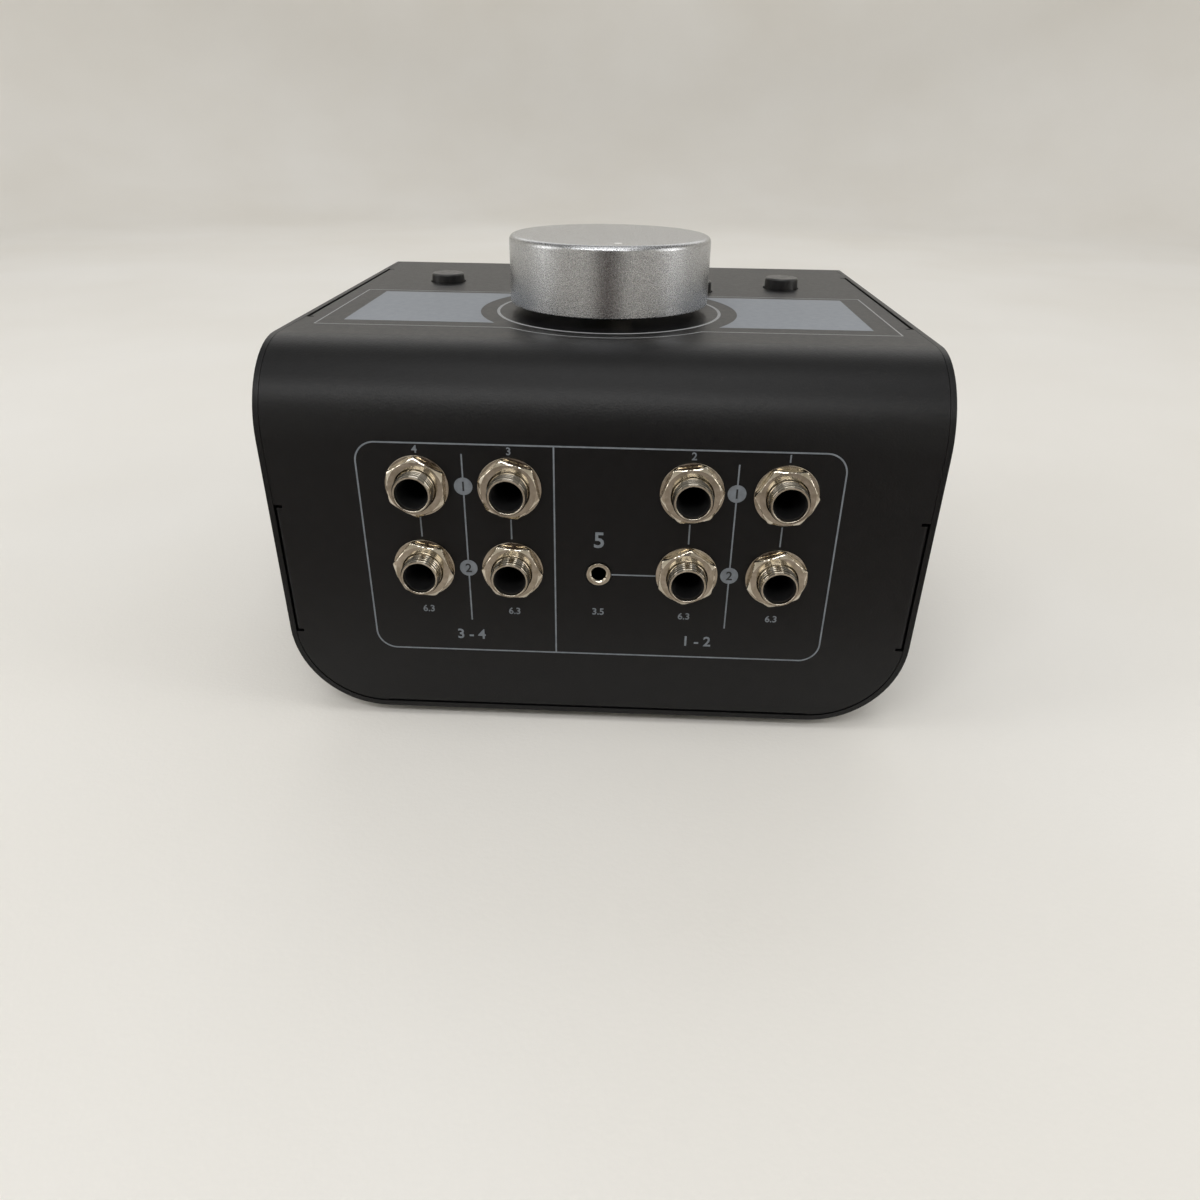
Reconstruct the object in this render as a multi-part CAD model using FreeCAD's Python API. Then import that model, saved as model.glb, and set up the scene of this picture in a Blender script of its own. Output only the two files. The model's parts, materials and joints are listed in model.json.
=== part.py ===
import FreeCAD, Part
import math
import os

os.makedirs("parts", exist_ok=True)
Vector = FreeCAD.Vector

# Desktop monitor controller: a folded steel case with a big volume knob and five push buttons
# on top, and eight 6.35 mm jacks and one 3.5 mm jack on the rear panel. Lengths are in mm.
# +Z is up and +Y points out of the rear panel. The origin is on the desk, under the middle.

# Case
case_width = 160.2
case_depth = 161.0
case_height = 95.0
foot_height = 3.0
tray_sheet = 1.4
cover_sheet = 1.2
cover_bend = 20.5
floor_bend = 23.5
cover_side_gap = 0.1
skirt_gap = 0.5
fold_round = 1.2
flange_width = 10.0
floor_flange_width = 12.0
relief_width = 0.8
relief_depth = 2.0
rear_flange_low = 23.5
rear_flange_high = 57.5
top_flange_rear = 40.0
top_flange_front = 122.5
floor_flange_half = 56.5

# Feet and case screws
foot_radius = 6.0
foot_taper = 0.8
foot_from_side = 34.1
foot_inset = 20.0
screw_radius = 1.5
screw_head_radius = 2.75
screw_head_height = 1.5
screw_clearance = 0.05
case_screw_x = 34.0
case_screw_inset = 6.5
case_screw_length = 5.0

# Rear jacks, 6.35 mm. Rows are heights above the case's floor.
jack_reach = 6.6
jack_pitch = 22.0
output_group_x = 32.0
input_group_x = -33.0
upper_row = 64.5
lower_row = 42.9
barrel_radius = 4.75
barrel_bore = 3.25
barrel_mouth = 3.95
barrel_mouth_depth = 0.6
barrel_seat_depth = 6.0
barrel_flange_width = 10.4
barrel_flange_thickness = 1.2
panel_hole_gap = 0.1
washer_radius = 7.6
washer_thickness = 0.7
nut_flats = 13.2
nut_thickness = 2.0
nut_turns = [0, 19, 13, 26, -22, -5, 29, -10]
jack_body_width = 15.6
jack_body_length = 24.0
jack_cavity_width = 8.2
jack_cavity_floor = 1.5
contact_width = 2.6
contact_thickness = 0.3
contact_length = 13.0
contact_gap = 0.15

# 3.5 mm jack. Its row is a height above the case's floor too.
mini_x = -0.3
mini_row = 42.2
mini_collar_radius = 3.0
mini_collar_reach = 0.25
mini_bore = 1.8
mini_mouth = 2.2
mini_mouth_depth = 0.4
mini_collar_length = 6.0
mini_hole_gap = 0.3
mini_body_width = 9.0
mini_cavity_floor = 2.0

# Boards
board_thickness = 1.6
jack_board_margin = 2.0
jack_board_half_width = 56.0
control_board_from_side = 14.1
control_board_rear_margin = 14.0
control_board_front_margin = 9.0
board_drop = 14.0
standoff_flats = 5.0
standoff_inset = 4.0
board_screw_radius = 1.25
board_screw_head_radius = 2.3
board_screw_head_height = 1.5
board_screw_length = 5.0

# Ribbon cable between the boards
ribbon_width = 25.4
ribbon_thickness = 0.9
ribbon_bend = 9.0
ribbon_tail = 4.0
header_height = 6.0
header_length = 30.0
header_depth = 5.0
header_inset = 7.0

# Volume knob, potentiometer. Knob heights are above the case's top face.
knob_from_rear = 56.4
knob_radius = 26.7
knob_bottom = 2.7
knob_top = 19.6
knob_edge_round = 1.5
knob_wall = 2.3
dimple_radius = 1.0
dimple_depth = 0.25
dimple_offset = 20.8
dimple_turn = 7.2
insert_disc = 3.0
insert_rim = 1.8
insert_boss_radius = 7.0
insert_rib = 1.6
insert_rib_count = 6
insert_rib_drop = 5.0
insert_rib_root = 0.5
hub_clearance = 0.4
shaft_radius = 3.0
shaft_running_gap = 0.05
shaft_flat = 1.5
shaft_flat_length = 8.5
shaft_top_below_knob = 3.6
bushing_radius = 4.5
bushing_reach = 5.0
bushing_plate = 1.2
pot_radius = 9.0
pot_wall = 1.8
pot_floor = 2.0
rotor_thickness = 2.8
rotor_gap = 0.3
pot_washer_radius = 7.6
pot_washer_thickness = 0.6
pot_nut_flats = 12.0
pot_nut_thickness = 2.0
pot_nut_turn = 10

# Push buttons. Rise is above the case's top face, travel is the whole stroke.
outer_button_from_side = 26.9
outer_button_from_rear = 100.5
inner_button_x = 25.3
inner_button_from_rear = 91.0
button_radius = 5.3
button_crown_radius = 5.05
button_rise = 3.2
button_latched_drop = 0.6
button_crown_bevel = 0.5
button_hole_gap = 0.3
button_skirt = 2.4
button_travel = 1.5
plunger_width = 3.2
plunger_socket = 3.0
plunger_gap = 0.05
switch_width = 8.5
switch_height = 7.5
switch_floor = 1.0
switch_stroke_spare = 0.3

# Fits. A cut runs past the face that it opens by the overrun.
fit_gap = 0.05
overrun = 1.0

# Places worked out from the sizes above
rear_y = (case_depth - jack_reach) / 2
front_y = rear_y - case_depth
floor_z = foot_height
top_z = floor_z + case_height
half_width = case_width / 2
foot_x = half_width - foot_from_side
outer_button_x = half_width - outer_button_from_side
control_board_half_width = half_width - control_board_from_side
tray_inner_x = half_width - tray_sheet
cover_half = tray_inner_x - cover_side_gap
floor_top_z = floor_z + tray_sheet
skirt_z = floor_top_z + skirt_gap
panel_inner_y = rear_y - cover_sheet
ceiling_z = top_z - cover_sheet
control_top_z = ceiling_z - board_drop
control_low_z = control_top_z - board_thickness
jack_board_rear_y = panel_inner_y - jack_body_length
jack_board_front_y = jack_board_rear_y - board_thickness
knob_y = rear_y - knob_from_rear
outer_button_y = rear_y - outer_button_from_rear
inner_button_y = rear_y - inner_button_from_rear
control_rear_y = knob_y + control_board_rear_margin
control_front_y = outer_button_y - control_board_front_margin
UP = Vector(0, 0, 1)
OUT = Vector(0, 1, 0)
ACROSS = Vector(1, 0, 0)


def save(shape, name):
    """Write one node's solids to its own file."""
    shape.exportStep("parts/" + name + ".step")


def box(low, high):
    """A block from its low corner to its high corner."""
    size = Vector(*high) - Vector(*low)
    return Part.makeBox(size.x, size.y, size.z, Vector(*low))


def rod(radius, start, end):
    """A cylinder from one point to another."""
    run = end - start
    return Part.makeCylinder(radius, run.Length, start, run)


def turned(profile, base, axis):
    """A solid of revolution. The profile lists (radius, height) pairs, round the axis from base."""
    side = ACROSS
    points = [base + side * radius + axis * height for radius, height in profile]
    face = Part.Face(Part.makePolygon(points + [points[0]]))
    return face.revolve(base, axis, 360)


def hexagon(flats, thickness, base, axis, turn):
    """A hexagonal prism. The turn is that of one corner from straight down, seen from outside."""
    circle = flats / math.sqrt(3)
    down = -UP if axis == OUT else OUT
    side = axis.cross(down)
    corners = []
    for i in range(6):
        angle = math.radians(turn + 60 * i)
        corners.append(base + (down * math.cos(angle) + side * math.sin(angle)) * circle)
    return Part.Face(Part.makePolygon(corners + [corners[0]])).extrude(axis * thickness)


def hex_nut(flats, thickness, hole, base, axis, turn):
    """A hexagonal nut with a plain hole."""
    return hexagon(flats, thickness, base, axis, turn).cut(rod(hole, base, base + axis * thickness))


def square_bar(width, start, end):
    """A bar of square section from one point to another along Y."""
    half = width / 2
    low_y = min(start.y, end.y)
    high_y = max(start.y, end.y)
    return box((start.x - half, low_y, start.z - half), (start.x + half, high_y, start.z + half))


def rounded_face(corners, plane, level):
    """A flat face through corners given as (u, v, radius), on the plane xy, xz or yz."""
    place = {
        "xy": lambda p: Vector(p.x, p.y, level),
        "xz": lambda p: Vector(p.x, level, p.y),
        "yz": lambda p: Vector(level, p.x, p.y),
    }[plane]
    starts = []
    edges = []
    count = len(corners)
    for i in range(count):
        here = Vector(corners[i][0], corners[i][1], 0)
        radius = corners[i][2]
        back = Vector(corners[i - 1][0], corners[i - 1][1], 0) - here
        ahead = Vector(corners[(i + 1) % count][0], corners[(i + 1) % count][1], 0) - here
        half = back.getAngle(ahead) / 2
        back.normalize()
        ahead.normalize()
        middle = back + ahead
        middle.normalize()
        reach = radius / math.tan(half)
        crown = here + middle * (radius / math.sin(half) - radius)
        starts.append((here + back * reach, crown, here + ahead * reach, radius))
    for i in range(count):
        first, crown, last, radius = starts[i]
        following = starts[(i + 1) % count][0]
        if radius > 0:
            edges.append(Part.Arc(place(first), place(crown), place(last)).toShape())
        edges.append(Part.makeLine(place(last), place(following)))
    return Part.Face(Part.Wire(edges))


def rectangle(low_u, low_v, high_u, high_v, low_radius, high_radius):
    """Corners of a rectangle whose two low and two high corners have their own radius."""
    return [
        (low_u, low_v, low_radius),
        (high_u, low_v, low_radius),
        (high_u, high_v, high_radius),
        (low_u, high_v, high_radius),
    ]


def top_rim(shape, radius, level):
    """The round edge of that radius that lies flat at that height."""
    near = 1e-4
    return [
        edge for edge in shape.Edges
        if isinstance(edge.Curve, Part.Circle)
        and abs(edge.Curve.Radius - radius) < near
        and abs(edge.BoundBox.ZMin - level) < near]


def edge_rounding(start, end, inward_a, inward_b, radius):
    """What a fold's outer rounding takes off a straight edge."""
    corner = [start, start + inward_a * radius, start + (inward_a + inward_b) * radius, start + inward_b * radius]
    bar = Part.Face(Part.makePolygon(corner + [start])).extrude(end - start)
    shift = (inward_a + inward_b) * radius
    return bar.cut(rod(radius, start + shift, end + shift))


def side_block(inset, low_z, low_x, high_x):
    """The case's side outline, drawn in by an inset, as a block across the case."""
    radius = cover_bend - inset
    outline = rectangle(front_y + inset, low_z, rear_y - inset, top_z - inset, 0, radius)
    return rounded_face(outline, "yz", low_x).extrude(ACROSS * (high_x - low_x))


def trough(half, low_z, radius, high_z):
    """A block along the case, with the round lower corners of the tray's section."""
    outline = rectangle(-half, low_z, half, high_z, radius, 0)
    return rounded_face(outline, "xz", front_y - overrun).extrude(OUT * (case_depth + 2 * overrun))


def foot_places():
    places = []
    for x in (-foot_x, foot_x):
        for y in (front_y + foot_inset, rear_y - foot_inset):
            places.append(Vector(x, y, 0))
    return places


def case_screw_places():
    places = []
    for x in (-case_screw_x, case_screw_x):
        for y in (front_y + case_screw_inset, rear_y - case_screw_inset):
            places.append(Vector(x, y, floor_z))
    return places


def chassis_tray():
    """Floor and two side walls folded from one sheet, the walls cut to the cover's outline."""
    outer = trough(half_width, floor_z, floor_bend, top_z)
    inner = trough(tray_inner_x, floor_top_z, floor_bend - tray_sheet, top_z + overrun)
    tray = outer.cut(inner).common(side_block(0, floor_z, -half_width, half_width))
    for place in case_screw_places():
        high = place + UP * (tray_sheet + overrun)
        tray = tray.cut(rod(screw_radius + screw_clearance, place - UP * overrun, high))
    return tray


def wall_flange(side, face_y, inward):
    """A flange folded in along the side of the rear or front wall, and what its fold takes off."""
    edge_x = side * cover_half
    low_z = floor_z + rear_flange_low
    high_z = floor_z + rear_flange_high
    strip = Part.makeBox(
        cover_sheet, flange_width, high_z - low_z,
        Vector(min(edge_x, edge_x - side * cover_sheet), min(face_y, face_y + inward * flange_width), low_z))
    start = Vector(edge_x, face_y, low_z)
    fold = edge_rounding(start, start + UP * (high_z - low_z), ACROSS * -side, OUT * inward, fold_round)
    reliefs = []
    for z in (low_z - relief_width, high_z):
        reliefs.append(box(
            (min(edge_x, edge_x - side * relief_depth), min(face_y, face_y + inward * flange_width), z),
            (max(edge_x, edge_x - side * relief_depth), max(face_y, face_y + inward * flange_width),
             z + relief_width)))
    return strip, [fold] + reliefs


def top_flange(side):
    """A flange folded down along the side of the top, and what its fold takes off."""
    edge_x = side * cover_half
    rear_end = rear_y - top_flange_rear
    front_end = rear_y - top_flange_front
    low_x = min(edge_x, edge_x - side * cover_sheet)
    strip = box((low_x, front_end, top_z - flange_width), (low_x + cover_sheet, rear_end, top_z))
    start = Vector(edge_x, front_end, top_z)
    fold = edge_rounding(start, start + OUT * (rear_end - front_end), ACROSS * -side, -UP, fold_round)
    reliefs = []
    for y in (front_end - relief_width, rear_end):
        low = min(edge_x, edge_x - side * relief_depth)
        reliefs.append(box((low, y, top_z - flange_width), (low + relief_depth, y + relief_width, top_z)))
    return strip, [fold] + reliefs


def floor_flange(face_y, inward):
    """A flange folded in along the floor, which the case screws hold, and what its fold takes off."""
    reach = face_y + inward * floor_flange_width
    half = floor_flange_half
    strip = box((-half, min(face_y, reach), floor_top_z), (half, max(face_y, reach), floor_top_z + cover_sheet))
    wall = box(
        (-half, min(face_y, face_y + inward * cover_sheet), floor_top_z),
        (half, max(face_y, face_y + inward * cover_sheet), skirt_z + cover_sheet))
    start = Vector(-half, face_y, floor_top_z)
    fold = edge_rounding(start, start + ACROSS * (2 * half), UP, OUT * inward, fold_round)
    return strip.fuse(wall), [fold]


def cover_shell():
    """Rear wall, top and front wall folded from one sheet, with flanges along its edges."""
    wrap = side_block(0, skirt_z, -cover_half, cover_half)
    hollow = side_block(cover_sheet, skirt_z - overrun, -cover_half - overrun, cover_half + overrun)
    cover = wrap.cut(hollow)
    cover = cover.common(trough(cover_half, skirt_z, floor_bend - tray_sheet - cover_side_gap, top_z + overrun))
    pieces = [floor_flange(rear_y, -1), floor_flange(front_y, 1)]
    for side in (-1, 1):
        pieces.append(top_flange(side))
        pieces.append(wall_flange(side, rear_y, -1))
        pieces.append(wall_flange(side, front_y, 1))
    cover = cover.multiFuse([strip for strip, cuts in pieces])
    for strip, cuts in pieces:
        for cut in cuts:
            cover = cover.cut(cut)
    for column in jack_columns():
        for row, z in jack_rows():
            cover = cover.cut(through_rear(column[1], z, barrel_radius + panel_hole_gap))
    cover = cover.cut(through_rear(mini_x, floor_z + mini_row, mini_collar_radius + mini_hole_gap))
    cover = cover.cut(through_top(0, knob_y, bushing_radius + screw_clearance))
    for name, x, y, drop in buttons():
        cover = cover.cut(through_top(x, y, button_radius + button_hole_gap))
    for place in case_screw_places():
        cover = cover.cut(rod(screw_radius + screw_clearance, place, place + UP * 2 * (tray_sheet + cover_sheet)))
    return cover.removeSplitter()


def through_rear(x, z, radius):
    return rod(radius, Vector(x, panel_inner_y - overrun, z), Vector(x, rear_y + overrun, z))


def through_top(x, y, radius):
    return rod(radius, Vector(x, y, ceiling_z - overrun), Vector(x, y, top_z + overrun))


def rubber_feet():
    """Four round tapered feet, stuck under the floor."""
    feet = []
    for place in foot_places():
        profile = [(0, 0), (foot_radius - foot_taper, 0), (foot_radius, foot_height), (0, foot_height)]
        feet.append(turned(profile, place, UP))
    return Part.makeCompound(feet)


def screw(under_head, axis, shank, length, head_radius, head_height):
    """A screw along the axis, from the face under its head."""
    head = rod(head_radius, under_head - axis * head_height, under_head)
    return head.fuse(rod(shank, under_head, under_head + axis * length)).removeSplitter()


def case_screws():
    screws = []
    for place in case_screw_places():
        screws.append(screw(place, UP, screw_radius, case_screw_length, screw_head_radius, screw_head_height))
    return Part.makeCompound(screws)


def jack_columns():
    """Jack columns as (name, x), from the outer output to the outer input."""
    half = jack_pitch / 2
    return [
        ("output_2", output_group_x + half),
        ("output_1", output_group_x - half),
        ("input_2", input_group_x + half),
        ("input_1", input_group_x - half),
    ]


def jack_rows():
    return [("left", floor_z + upper_row), ("right", floor_z + lower_row)]


def jack_barrel(x, z):
    """Threaded nose of a jack, with the bore that takes the plug and a square flange in the body."""
    length = jack_reach + cover_sheet + barrel_seat_depth
    base = Vector(x, panel_inner_y - barrel_seat_depth, z)
    profile = [(0, 0), (barrel_radius, 0), (barrel_radius, length), (0, length)]
    drilled = [
        (0, -overrun),
        (barrel_bore, -overrun),
        (barrel_bore, length - barrel_mouth_depth),
        (barrel_mouth, length),
        (0, length),
    ]
    flange = square_bar(barrel_flange_width, base, base + OUT * barrel_flange_thickness)
    return turned(profile, base, OUT).fuse(flange).cut(turned(drilled, base, OUT))


def jack_body(x, z):
    """Moulded body of a jack, with a square pocket for the barrel, a cavity and two contact slots."""
    front = Vector(x, panel_inner_y, z)
    seat = front - OUT * barrel_seat_depth
    floor = Vector(x, jack_board_rear_y + jack_cavity_floor, z)
    body = square_bar(jack_body_width, Vector(x, jack_board_rear_y, z), front)
    body = body.cut(square_bar(barrel_flange_width + 2 * fit_gap, seat, front))
    body = body.cut(square_bar(jack_cavity_width, floor, front))
    half = contact_width / 2 + fit_gap
    for side in (-1, 1):
        near = x + side * (barrel_bore + contact_gap)
        far = near + side * contact_thickness * 2
        body = body.cut(box(
            (min(near, far), jack_board_rear_y - overrun, z - half),
            (max(near, far), jack_board_rear_y + jack_cavity_floor + overrun, z + half)))
    return body


def jack_contacts():
    """Two leaf springs in each jack, whose tails pass through the body's floor to the board."""
    leaves = []
    for name, x in jack_columns():
        for row, z in jack_rows():
            for side in (-1, 1):
                near = x + side * (barrel_bore + contact_gap)
                far = near + side * contact_thickness
                leaves.append(box(
                    (min(near, far), jack_board_rear_y, z - contact_width / 2),
                    (max(near, far), jack_board_rear_y + contact_length, z + contact_width / 2)))
    return Part.makeCompound(leaves)


def jack_washers():
    rings = []
    for name, x in jack_columns():
        for row, z in jack_rows():
            base = Vector(x, rear_y, z)
            ring = rod(washer_radius, base, base + OUT * washer_thickness)
            rings.append(ring.cut(rod(barrel_radius + panel_hole_gap, base, base + OUT * washer_thickness)))
    return Part.makeCompound(rings)


def jack_nuts():
    """Nuts as they were left when tightened, so each is turned by its own angle."""
    turns = iter(nut_turns)
    nuts = []
    for name, x in jack_columns():
        for row, z in jack_rows():
            base = Vector(x, rear_y + washer_thickness, z)
            nuts.append(hex_nut(nut_flats, nut_thickness, barrel_radius + fit_gap, base, OUT, next(turns)))
    return Part.makeCompound(nuts)


def mini_jack_collar():
    length = mini_collar_length + cover_sheet + mini_collar_reach
    profile = [
        (mini_bore, 0),
        (mini_collar_radius, 0),
        (mini_collar_radius, length),
        (mini_mouth, length),
        (mini_bore, length - mini_mouth_depth),
    ]
    return turned(profile, Vector(mini_x, panel_inner_y - mini_collar_length, floor_z + mini_row), OUT)


def mini_jack_body():
    """Moulded body of the small jack, on a riser that reaches the board."""
    z = floor_z + mini_row
    front = Vector(mini_x, panel_inner_y, z)
    floor = Vector(mini_x, jack_board_rear_y + mini_cavity_floor, z)
    body = square_bar(mini_body_width, Vector(mini_x, jack_board_rear_y, z), front)
    seat = rod(mini_collar_radius + fit_gap, front - OUT * mini_collar_length, front)
    cavity = square_bar(2 * (mini_bore + contact_thickness), floor, front)
    return body.cut(seat).cut(cavity)


def jack_board():
    """Upright board behind the jacks, which carry it."""
    half = jack_body_width / 2 + jack_board_margin
    return box(
        (-jack_board_half_width, jack_board_front_y, floor_z + lower_row - half),
        (jack_board_half_width, jack_board_rear_y, floor_z + upper_row + half))


def standoff_places():
    """The board hangs from the bushing's nut and from a spacer at each front corner."""
    x = control_board_half_width - standoff_inset
    return [Vector(side * x, control_front_y + standoff_inset, 0) for side in (-1, 1)]


def control_board():
    """Board under the top, which carries the potentiometer and the switches."""
    board = box(
        (-control_board_half_width, control_front_y, control_low_z),
        (control_board_half_width, control_rear_y, control_top_z))
    for place in standoff_places():
        low = Vector(place.x, place.y, control_low_z - overrun)
        high = low + UP * (board_thickness + 2 * overrun)
        board = board.cut(rod(board_screw_radius + screw_clearance, low, high))
    return board


def board_standoffs():
    """Hexagonal spacers between the top and the board, with a tapped hole for the screw."""
    spacers = []
    for place in standoff_places():
        base = Vector(place.x, place.y, control_top_z)
        spacer = hexagon(standoff_flats, board_drop, base, UP, 0)
        hole = rod(board_screw_radius + screw_clearance, base, base + UP * board_screw_length)
        spacers.append(spacer.cut(hole))
    return Part.makeCompound(spacers)


def board_screws():
    screws = []
    for place in standoff_places():
        seat = Vector(place.x, place.y, control_low_z)
        screws.append(screw(
            seat, UP, board_screw_radius, board_screw_length, board_screw_head_radius, board_screw_head_height))
    return Part.makeCompound(screws)


def ribbon_places():
    """Where the ribbon leaves the jack board's header and enters the control board's header."""
    control_y = control_rear_y - header_inset
    control_z = control_low_z - header_height
    jack_y = jack_board_front_y - header_height
    jack_z = control_z - ribbon_tail - ribbon_bend
    return jack_y, jack_z, control_y, control_z


def ribbon_headers():
    """One header under the control board and one in front of the jack board."""
    jack_y, jack_z, control_y, control_z = ribbon_places()
    half = header_length / 2
    upper = box(
        (-half, control_y - header_depth / 2, control_z), (half, control_y + header_depth / 2, control_low_z))
    rear = box(
        (-half, jack_y, jack_z - header_depth / 2), (half, jack_board_front_y, jack_z + header_depth / 2))
    return Part.makeCompound([upper, rear])


def ribbon_cable():
    """A flat cable with one quarter turn between the two headers."""
    jack_y, jack_z, control_y, control_z = ribbon_places()
    half = ribbon_thickness / 2
    outer = ribbon_bend + half
    inner = ribbon_bend - half
    corners = [
        (jack_y, jack_z - half, 0),
        (jack_y, jack_z + half, 0),
        (control_y + half, jack_z + half, inner),
        (control_y + half, control_z, 0),
        (control_y - half, control_z, 0),
        (control_y - half, jack_z - half, outer),
    ]
    return rounded_face(corners, "yz", -ribbon_width / 2).extrude(ACROSS * ribbon_width)


def pot_body():
    """Cup of the potentiometer, on the board, closed by the bushing's plate."""
    height = board_drop - bushing_plate
    base = Vector(0, knob_y, control_top_z)
    cup = rod(pot_radius, base, base + UP * height)
    return cup.cut(rod(pot_radius - pot_wall, base + UP * pot_floor, base + UP * height))


def pot_bushing():
    """Plate and threaded neck that guide the shaft through the top."""
    bore = shaft_radius + shaft_running_gap
    height = bushing_plate + cover_sheet + bushing_reach
    profile = [(bore, 0), (pot_radius, 0), (pot_radius, bushing_plate), (bushing_radius, bushing_plate),
               (bushing_radius, height), (bore, height)]
    return turned(profile, Vector(0, knob_y, ceiling_z - bushing_plate), UP)


def flat_cut(radius, low_z, high_z):
    """What the flat takes off a round bar or leaves in a bore, on the side away from the pointer."""
    return box(
        (-radius, knob_y - radius - overrun, low_z), (radius, knob_y - radius + shaft_flat, high_z))


def shaft_top_z():
    return top_z + knob_top - shaft_top_below_knob


def pot_shaft():
    """Shaft with a flat at its top and the rotor disc that turns in the cup."""
    rotor_top = ceiling_z - bushing_plate - rotor_gap
    rotor_radius = pot_radius - pot_wall - rotor_gap
    top = shaft_top_z()
    base = Vector(0, knob_y, 0)
    shaft = rod(shaft_radius, base + UP * (rotor_top - rotor_thickness), base + UP * top)
    rotor = rod(rotor_radius, base + UP * (rotor_top - rotor_thickness), base + UP * rotor_top)
    shaft = shaft.fuse(rotor).removeSplitter()
    return shaft.cut(flat_cut(shaft_radius, top - shaft_flat_length, top + overrun))


def pot_washer():
    base = Vector(0, knob_y, top_z)
    ring = rod(pot_washer_radius, base, base + UP * pot_washer_thickness)
    return ring.cut(rod(bushing_radius + screw_clearance, base, base + UP * pot_washer_thickness))


def pot_nut():
    base = Vector(0, knob_y, top_z + pot_washer_thickness)
    return hex_nut(pot_nut_flats, pot_nut_thickness, bushing_radius + screw_clearance, base, UP, pot_nut_turn)


def knob_cap():
    """Turned cup with a rounded top edge and the pointer's dimple."""
    inner = knob_radius - knob_wall
    ceiling = knob_top - knob_wall
    profile = [
        (0, ceiling), (inner, ceiling), (inner, knob_bottom), (knob_radius, knob_bottom),
        (knob_radius, knob_top), (0, knob_top),
    ]
    base = Vector(0, knob_y, top_z)
    cap = turned(profile, base, UP)
    cap = cap.makeFillet(knob_edge_round, top_rim(cap, knob_radius, top_z + knob_top))
    turn = math.radians(dimple_turn)
    spot = base + Vector(-math.sin(turn), math.cos(turn), 0) * dimple_offset + UP * knob_top
    return cap.cut(rod(dimple_radius, spot - UP * dimple_depth, spot + UP * overrun))


def knob_insert():
    """Moulded hub in the knob: disc, rim, boss with a flatted bore, and ribs between them."""
    outer = knob_radius - knob_wall - fit_gap
    ceiling = knob_top - knob_wall
    disc_low = ceiling - insert_disc
    hub_low = bushing_reach + hub_clearance
    base = Vector(0, knob_y, top_z)
    profile = [
        (0, hub_low), (insert_boss_radius, hub_low), (insert_boss_radius, disc_low),
        (outer - insert_rim, disc_low), (outer - insert_rim, hub_low), (outer, hub_low), (outer, ceiling),
        (0, ceiling),
    ]
    hub = turned(profile, base, UP)
    for i in range(insert_rib_count):
        rib = box(
            (insert_boss_radius - insert_rib_root, -insert_rib / 2, disc_low - insert_rib_drop),
            (outer - insert_rim + insert_rib_root, insert_rib / 2, disc_low + insert_rib_root))
        rib.rotate(Vector(0, 0, 0), UP, 360 / insert_rib_count * i)
        rib.translate(base)
        hub = hub.fuse(rib)
    bore_radius = shaft_radius + fit_gap
    bore = rod(bore_radius, base, Vector(0, knob_y, shaft_top_z() + fit_gap))
    flat = flat_cut(bore_radius, shaft_top_z() - shaft_flat_length + fit_gap, shaft_top_z() + overrun)
    return hub.cut(bore.cut(flat)).removeSplitter()


def buttons():
    """Buttons as (name, x, y, how far it stands latched down)."""
    return [
        ("output", outer_button_x, outer_button_y, button_latched_drop),
        ("dim", inner_button_x, inner_button_y, 0),
        ("mute", 0, outer_button_y, 0),
        ("mono", -inner_button_x, inner_button_y, 0),
        ("source", -outer_button_x, outer_button_y, 0),
    ]


def button_cap(x, y, drop):
    """Round cap with a slightly tapered side, a bevelled crown and a socket for its stem."""
    crown = button_rise - drop
    low = -cover_sheet - button_skirt - drop
    profile = [
        (0, low), (button_radius, low), (button_crown_radius, crown - button_crown_bevel),
        (button_crown_radius - button_crown_bevel, crown), (0, crown),
    ]
    cap = turned(profile, Vector(x, y, top_z), UP)
    half = plunger_width / 2 + plunger_gap
    return cap.cut(box(
        (x - half, y - half, top_z + low - overrun), (x + half, y + half, top_z + low + plunger_socket)))


def switch_plunger(x, y, drop):
    """Square stem from the switch into the cap's socket."""
    half = plunger_width / 2
    high = ceiling_z - button_skirt - drop + plunger_socket
    low = control_top_z + switch_floor + button_travel + switch_stroke_spare - drop
    return box((x - half, y - half, low), (x + half, y + half, high))


def switch_body(x, y):
    """Square switch on the board, open at the top for its stem."""
    half = switch_width / 2
    body = box((x - half, y - half, control_top_z), (x + half, y + half, control_top_z + switch_height))
    hole = plunger_width / 2 + plunger_gap
    return body.cut(box(
        (x - hole, y - hole, control_top_z + switch_floor),
        (x + hole, y + hole, control_top_z + switch_height + overrun)))


save(chassis_tray(), "chassis_tray")
save(cover_shell(), "cover_shell")
save(rubber_feet(), "rubber_feet")
save(case_screws(), "case_screws")
for column, column_x in jack_columns():
    for row, row_z in jack_rows():
        save(jack_barrel(column_x, row_z), "jack_barrel_" + column + "_" + row)
        save(jack_body(column_x, row_z), "jack_body_" + column + "_" + row)
save(jack_contacts(), "jack_contacts")
save(jack_washers(), "jack_washers")
save(jack_nuts(), "jack_nuts")
save(mini_jack_collar(), "mini_jack_collar")
save(mini_jack_body(), "mini_jack_body")
save(jack_board(), "jack_board")
save(control_board(), "control_board")
save(board_standoffs(), "board_standoffs")
save(board_screws(), "board_screws")
save(ribbon_headers(), "ribbon_headers")
save(ribbon_cable(), "ribbon_cable")
save(pot_body(), "pot_body")
save(pot_bushing(), "pot_bushing")
save(pot_shaft(), "pot_shaft")
save(pot_washer(), "pot_washer")
save(pot_nut(), "pot_nut")
save(knob_cap(), "knob_cap")
save(knob_insert(), "knob_insert")
for button, button_x, button_y, button_drop in buttons():
    save(button_cap(button_x, button_y, button_drop), "button_cap_" + button)
    save(switch_plunger(button_x, button_y, button_drop), "switch_plunger_" + button)
    save(switch_body(button_x, button_y), "switch_body_" + button)
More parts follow.
